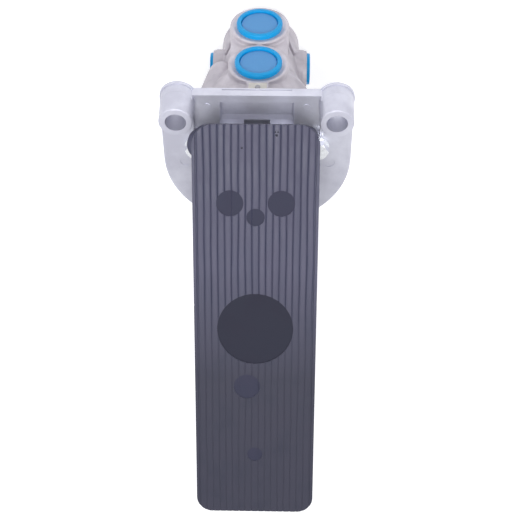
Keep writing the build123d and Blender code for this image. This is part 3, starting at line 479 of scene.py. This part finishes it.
# rubber tread: long ribs over a flat base, with the flat marks of the mould's pins
treadSet = {
    "length": 277.0, "width": 80.5, "thickness": 11.0, "coverFloor": 6.0, "skirt": 2.0,
    "ribPitch": 4.41, "ribsEachSide": 8, "ribHeight": 0.65, "ribFlat": 0.3, "edgeRib": 2.2,
    "wornFrom": 108.0, "wornTo": 150.0, "wornShare": 0.55,
    "heelCorner": 14.0, "toeCorner": 11.0, "heelLip": 2.2, "heelBevel": 4.5,
    "rowStep": 2.0, "wander": 0.5, "wanderLength": 35.0,
    "discs": [(51.2, 16.4, 8.6), (51.2, -16.4, 8.6), (60.5, 0.0, 5.85), (180.0, 5.4, 8.8), (231.6, 0.0, 5.15)],
    "discDrop": 0.35, "badge": (138.0, 0.0, 25.0), "badgeDrop": 0.5,
    "lobe": (14.5, 33.4), "lobeRadius": 10.0, "lobeDrop": 2.6,
    "nicks": [(6.6, -12.9, 0.9), (4.6, -12.2, 0.5), (4.6, -13.8, 0.5), (121.2, 40.7, 0.9), (119.5, -40.7, 0.9),
              (138.0, -40.7, 0.7), (15.0, 8.7, 0.6)],
    "nickDepth": 1.9,
}


def ribSection(x, s, values):
    # height of the tread below its rib tops: rounded ribs with a narrow valley between them
    pitch = values["ribPitch"]
    half = values["width"] / 2
    index = max(-values["ribsEachSide"], min(values["ribsEachSide"], round(x / pitch)))
    if abs(x) > half - values["edgeRib"]:
        return 0.0
    away = min(1, abs(x - index * pitch) / (pitch / 2))
    fall = max(0, (away - values["ribFlat"]) / (1 - values["ribFlat"]))
    worn = max(0, min(1, (s - values["wornFrom"]) / (values["wornTo"] - values["wornFrom"])))
    depth = values["ribHeight"] * (1 - worn * (1 - values["wornShare"]))
    return -depth * fall ** 3


def ribColumns(values):
    # the sideways places that the rib profile needs
    pitch = values["ribPitch"]
    half = values["width"] / 2
    places = {-half - 1, half + 1}
    for index in range(-values["ribsEachSide"], values["ribsEachSide"] + 1):
        for offset in (0, 0.35, 0.55, 0.7, 0.82, 0.9, 0.96, 1.0):
            places.update((round((index - offset / 2) * pitch, 3), round((index + offset / 2) * pitch, 3)))
    for side in (-1, 1):
        for offset in (0.0, 0.3, values["edgeRib"] - 0.3, values["edgeRib"], values["edgeRib"] + 0.25):
            places.add(side * (half - offset))
    return sorted(places)


def planOutline(values, margin, arcSteps=10):
    half = values["width"] / 2 - margin
    low, high = margin, values["length"] - margin
    corners = [(half, low, values["heelCorner"], -90), (half, high, values["toeCorner"], 0),
               (-half, high, values["toeCorner"], 90), (-half, low, values["heelCorner"], 180)]
    outline = []
    for x, s, radius, start in corners:
        reach = radius - margin
        centre = (x - math.copysign(reach, x), s + reach if s == low else s - reach)
        for step in range(arcSteps + 1):
            angle = math.radians(start + 90 * step / arcSteps)
            outline.append((centre[0] + reach * math.cos(angle), centre[1] + reach * math.sin(angle)))
    return outline


def treadPoint(x, s, n):
    return (Vector((x, 0, 0)) + treadleHeel + treadAlong * s + treadUp * n) * mm


def treadPrism(name, outline, low, high):
    bm = bmesh.new()
    bottom = [bm.verts.new(treadPoint(x, s, low)) for x, s in outline]
    top = [bm.verts.new(treadPoint(x, s, high)) for x, s in outline]
    bm.faces.new(bottom)
    bm.faces.new(top)
    for index in range(len(outline)):
        following = (index + 1) % len(outline)
        bm.faces.new((bottom[index], bottom[following], top[following], top[index]))
    return fromBmesh(name, bm, treadRubber)


def treadWedge(outline, half):
    # a prism right across the tread, drawn in distance from the heel and height
    bm = bmesh.new()
    ends = [[bm.verts.new(treadPoint(side * half, s, n)) for s, n in outline] for side in (-1, 1)]
    for end in ends:
        bm.faces.new(end)
    for index in range(len(outline)):
        following = (index + 1) % len(outline)
        bm.faces.new((ends[0][index], ends[0][following], ends[1][following], ends[1][index]))
    return fromBmesh("wedge", bm, treadRubber)


def treadBlock(values):
    # one long block with the ribbed surface on top; the plan outline is cut from it
    columns = ribColumns(values)
    rows = [step * values["rowStep"] - 2 for step in range(int((values["length"] + 4) / values["rowStep"]) + 2)]
    bm = bmesh.new()
    grid = []
    for s in rows:
        line = []
        for x in columns:
            sway = noise.noise(Vector((x * 0.11, s / values["wanderLength"], 3.1))) * values["wander"]
            lift = noise.noise(Vector((x * 0.35, s / 9.0, 7.7))) * 0.05
            edge = min(1, (values["width"] / 2 - abs(x)) / 3) if abs(x) < values["width"] / 2 else 0
            height = min(0, ribSection(x, s, values) + lift - 0.03)
            line.append(bm.verts.new(treadPoint(x + sway * edge, s, height)))
        grid.append(line)
    for upper, lower in zip(grid, grid[1:]):
        for a, b, c, d in zip(upper, upper[1:], lower[1:], lower):
            bm.faces.new((a, b, c, d))
    border = grid[0] + [line[-1] for line in grid[1:]] + grid[-1][-2::-1] + [line[0] for line in grid[-2:0:-1]]
    deep = []
    for vertex in border:
        level = vertex.co / mm - treadleHeel
        deep.append(bm.verts.new(treadPoint(level.x, level.dot(treadAlong), -values["thickness"] - 2)))
    for index in range(len(border)):
        following = (index + 1) % len(border)
        bm.faces.new((border[index], border[following], deep[following], deep[index]))
    bm.faces.new(deep)
    return fromBmesh("treadBlock", bm, treadRubber)


def treadRod(name, x, s, radius, low, high, segments=64, ease=0.0):
    outline = [(0, low), (radius, low), (radius, high), (0, high)]
    if ease:
        outline = [(0, low), (radius, low)] + roundCorner([(radius, low), (radius, high), (0, high)], ease)[1:]
    rod = lathe(name, outline, treadRubber, segments)
    basis = Matrix((
        (1, 0, 0, x * mm),
        (0, treadAlong.y, treadUp.y, 0),
        (0, treadAlong.z, treadUp.z, 0),
        (0, 0, 0, 1)))
    seat = treadPoint(x, s, 0)
    basis[1][3], basis[2][3] = seat.y, seat.z
    rod.data.transform(basis)
    return rod


def markFlats(cover, values):
    # the tops of the discs and of the badge get their own darker, duller material: painted shade on the same rubber
    for material in shadedFlatRubber:
        cover.data.materials.append(material)
    flats = [(disc, values["discDrop"], 1) for disc in values["discs"]] + [(values["badge"], values["badgeDrop"], 2)]
    for face in cover.data.polygons:
        face.material_index = 0
        place = face.center / mm - treadleHeel
        s, x, n = place.dot(treadAlong), place.x, place.dot(treadUp)
        for (discS, discX, radius), drop, index in flats:
            if math.hypot(s - discS, x - discX) < radius and abs(n + drop) < 0.05:
                face.material_index = index


def makeTread(values):
    cover = treadPrism("treadleTread", planOutline(values, 0), -values["thickness"], 1)
    hollow = treadPrism("hollow", planOutline(values, values["skirt"]), -values["thickness"] - 1, -values["coverFloor"])
    cutWith(cover, hollow, "DIFFERENCE")
    lobeS, lobeX = values["lobe"]
    lobe = treadRod("lobe", lobeX, lobeS, values["lobeRadius"], -values["thickness"], -values["lobeDrop"], 64, 3.0)
    cutWith(cover, treadBlock(values), "INTERSECT")
    cutWith(cover, lobe, "UNION")
    lip, reach, deep = values["heelLip"], values["heelBevel"], values["thickness"]
    slope = reach / (deep - lip)
    wedge = treadWedge([(-1, -lip), (0.01, -lip), (reach + slope, -deep - 1), (-1, -deep - 1)], values["width"])
    cutWith(cover, wedge, "DIFFERENCE")
    flats = [(disc, values["discDrop"], 64) for disc in values["discs"]] + [(values["badge"], values["badgeDrop"], 96)]
    for (s, x, radius), drop, segments in flats:
        # the flat fills the valleys, and then its top is cut level
        cutWith(cover, treadRod("flat", x, s, radius, -values["coverFloor"] + 1, -drop + 0.2, segments), "UNION")
        cutWith(cover, treadRod("level", x, s, radius + 0.04, -drop, 2, segments), "DIFFERENCE")
    for s, x, radius in values["nicks"]:
        cutWith(cover, treadRod("nick", x, s, radius, -values["nickDepth"], 1, 12), "DIFFERENCE")
    markFlats(cover, values)
    smoothShade(cover, 32)
    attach(cover, "treadle")
    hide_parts("treadle_cover")
    print("tread faces", len(cover.data.polygons))
    return cover


makeTread(treadSet)


# shipping plugs: a thick rounded bead about a thin sunken floor
plugSet = {
    "large": {"radius": 15.9, "height": 3.4, "recess": 12.7, "depth": 1.6, "stem": 12.7, "stemLength": 10.0},
    "small": {"radius": 11.15, "height": 2.2, "recess": 8.6, "depth": 1.1, "stem": 8.7, "stemLength": 6.0},
    "groove": (0.6, 1.1),   # width and depth of the groove between the floor and the bead
    "largeFace": 41.2, "smallFace": 33.5, "upperDepth": 39.3, "lowerDepth": 81.4, "sideDepth": 86.0,
}


def makePlug(name, node, size, seat, turn):
    values = plugSet[size]
    top = values["height"]
    bead = roundCorner([(values["recess"], top - values["depth"]), (values["recess"], top),
                        (values["radius"], top), (values["radius"], 0.0)], 1.5, 8)
    wall = values["stem"] - 1.6
    floor = top - values["depth"]
    width, sunk = plugSet["groove"]
    profile = [(0, floor + 0.1), (values["recess"] * 0.6, floor + 0.06), (values["recess"] - width, floor),
               (values["recess"] - width, floor - sunk), (values["recess"], floor - sunk)] + bead[1:]
    profile += [(values["stem"], 0.0), (values["stem"], 1.0 - values["stemLength"]),
                (values["stem"] - 0.6, -values["stemLength"]), (wall, -values["stemLength"]), (wall, -1.5), (0, -1.5)]
    plug = lathe(name, profile, [bluePlastic, blueFloor], 96, lambda step: 1 if step < 2 else 0)
    plug.data.transform(Matrix.Translation(Vector(seat) * mm) @ turn.to_4x4())
    smoothShade(plug, 40)
    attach(plug, "plate_and_body")
    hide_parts(node)
    return plug


for label, side in (("front", -1), ("rear", 1)):
    facing = Matrix.Rotation(math.radians(-90 * side), 3, "X")
    for level in ("upper", "lower"):
        makePlug(f"{level}{label.title()}Plug", f"{level}_{label}_plug", "large",
                 (0, side * plugSet["largeFace"], -plugSet[level + "Depth"]), facing)
for label, side in (("left", 1), ("right", -1)):
    makePlug(label + "SidePlug", label + "_side_plug", "small",
             (side * plugSet["smallFace"], 0, -plugSet["sideDepth"]), Matrix.Rotation(math.radians(90 * side), 3, "Y"))
print("plugs made")


# bellows boot round the plunger
bootSet = {"base": 6.8, "top": 21.7, "collar": 13.3, "neck": 8.3, "wall": 1.4,
           "folds": [(16.4, 6.8), (16.4, 9.0), (18.9, 11.0), (15.2, 13.7), (17.5, 16.0), (13.4, 19.0), (11.0, 21.7)]}


def makeBoot(values):
    outer = roundCorner(values["folds"], 1.0, 4)
    inner = [(radius - values["wall"], height) for radius, height in reversed(outer[:-2])]
    inner = [point for point in inner if values["base"] + 2.5 < point[1] < values["top"] - 2.2]
    profile = outer + [(values["neck"], values["top"]), (values["neck"], values["top"] - 1.4)]
    profile += [(max(radius, values["neck"] + 2), height) for radius, height in inner]
    profile += [(values["collar"], values["base"] + 2.4), (values["collar"], values["base"])]
    boot = lathe("plungerBoot", profile, made["boltedRubber"], 72)
    smoothShade(boot, 50)
    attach(boot, "plate_and_body")
    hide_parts("plunger_boot")
    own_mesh(boot)


makeBoot(bootSet)


# springs: each rides on its body; travel is how many millimetres its top end goes down
springSet = {
    "graduating_spring": {"body": "primary_piston", "travel": 3.9, "finish": "boltedRubber"},
    "primary_return_spring": {"body": "plate_and_body", "travel": 5.01, "finish": "springSteel"},
    "primary_valve_spring": {"body": "plate_and_body", "travel": 3.61, "finish": "springSteel"},
    "relay_return_spring": {"body": "plate_and_body", "travel": 4.41, "finish": "springSteel"},
    "secondary_valve_spring": {"body": "plate_and_body", "travel": 3.01, "finish": "springSteel"},
}


def makeSpring(node, values):
    words = node.split("_")
    spring = weldedCopy(node, words[0] + "".join(word.title() for word in words[1:]), made[values["finish"]])
    smoothShade(spring, 50)
    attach(spring, values["body"])
    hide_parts(node)
    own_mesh(spring)


for node, values in springSet.items():
    makeSpring(node, values)
print("springs made:", len(springSet))


# every other node keeps its own mesh and gets its finish
finishOf = {
    "zincSteel": ["body_screws", "lock_washers", "treadle_pivot_pin", "roller_pin", "exhaust_cover_screws",
                  "exhaust_flap_screw"],
    "bareSteel": ["pivot_cotter_pin", "roller_cotter_pin", "roller", "spring_seat"],
    "springSteel": ["tag_pin", "primary_retaining_ring", "secondary_retaining_ring"],
    "boltedRubber": ["primary_piston_seal", "relay_piston_seal", "secondary_seat_seal",
                     "exhaust_flap", "primary_inlet_valve", "secondary_inlet_valve"],
    "bronze": ["pivot_bushings"],
    "pistonAlloy": ["plunger", "primary_piston", "relay_piston", "secondary_seat", "primary_valve_retainer",
                    "secondary_valve_retainer"],
    "castBody": ["exhaust_cover"],
    "gasketBoard": ["flange_gasket"],
    "creamTag": ["inspection_tag"],
}
for finish, nodes in finishOf.items():
    for node in nodes:
        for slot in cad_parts[node].material_slots:
            slot.material = made[finish]
print("nodes finished:", sum(len(nodes) for nodes in finishOf.values()))


# floor, lamps and world
stageSet = {"floorSize": 8.0, "floorColour": (0.86, 0.86, 0.87), "floorLift": 0.55, "ambient": 0.4,
            "ambientColour": (0.95, 0.96, 1.0),
            "lamps": {"key": {"place": (0.04, -0.48, 0.92), "size": 0.45, "power": 7.2},
                      "leftFill": {"place": (0.75, -0.1, 0.9), "size": 0.9, "power": 2.2},
                      "rightFill": {"place": (-0.75, -0.1, 0.9), "size": 0.9, "power": 2.8}}}


def seenDirectly(tree):
    path = addNode(tree, "ShaderNodeLightPath")
    either = combine(tree, "MAXIMUM", path.outputs["Is Camera Ray"], path.outputs["Is Glossy Ray"])
    return combine(tree, "MAXIMUM", either, path.outputs["Is Transmission Ray"])


def makeFloor(values):
    half = values["floorSize"] / 2
    level = cadLow.z
    bm = bmesh.new()
    bm.faces.new([bm.verts.new((x, y, level)) for x, y in ((-half, -half), (half, -half), (half, half), (-half, half))])
    material = bpy.data.materials.new("floorPaper")
    material.use_nodes = True
    tree = material.node_tree
    shader = tree.nodes["Principled BSDF"]
    setInputs(shader, Roughness=0.9)
    paper = noiseNode(tree, addNode(tree, "ShaderNodeTexCoord").outputs["Object"],
                      rangeNode(tree, seenDirectly(tree), 0, 1, 9, 9), 1, 2)
    tint = addNode(tree, "ShaderNodeMix", data_type="RGBA")
    tint.inputs[6].default_value = (*values["floorColour"], 1)
    tint.inputs[7].default_value = (*[channel * 0.985 for channel in values["floorColour"]], 1)
    tree.links.new(paper, tint.inputs[0])
    tree.links.new(tint.outputs[2], shader.inputs["Base Color"])
    shader.inputs["Emission Color"].default_value = (1, 1, 1, 1)
    tree.links.new(combine(tree, "MULTIPLY", seenDirectly(tree), values["floorLift"]),
                   shader.inputs["Emission Strength"])
    floor = fromBmesh("floor", bm, material)


def makeWorld(values):
    world = bpy.data.worlds.new("studio")
    scene.world = world
    world.use_nodes = True
    tree = world.node_tree
    tree.nodes.clear()
    seen = seenDirectly(tree)
    ambient = addNode(tree, "ShaderNodeBackground")
    ambient.inputs["Color"].default_value = (*values["ambientColour"], 1)
    ambient.inputs["Strength"].default_value = values["ambient"]
    white = addNode(tree, "ShaderNodeBackground")
    white.inputs["Strength"].default_value = 1
    white.inputs["Color"].default_value = (1, 1, 1, 1)
    mix = addNode(tree, "ShaderNodeMixShader")
    output = addNode(tree, "ShaderNodeOutputWorld")
    tree.links.new(seen, mix.inputs[0])
    tree.links.new(ambient.outputs[0], mix.inputs[1])
    tree.links.new(white.outputs[0], mix.inputs[2])
    tree.links.new(mix.outputs[0], output.inputs["Surface"])


def makeLamp(name, values):
    data = bpy.data.lights.new(name, "AREA")
    data.shape = "DISK"
    data.size = values["size"]
    data.energy = values["power"]
    lamp = bpy.data.objects.new(name, data)
    scene.collection.objects.link(lamp)
    lamp.location = values["place"]
    centre = (cadLow + cadHigh) / 2
    lamp.rotation_euler = (centre - lamp.location).to_track_quat("-Z", "Y").to_euler()


makeFloor(stageSet)
makeWorld(stageSet)
for lampName, lampValues in stageSet["lamps"].items():
    makeLamp(lampName, lampValues)
print("stage made")
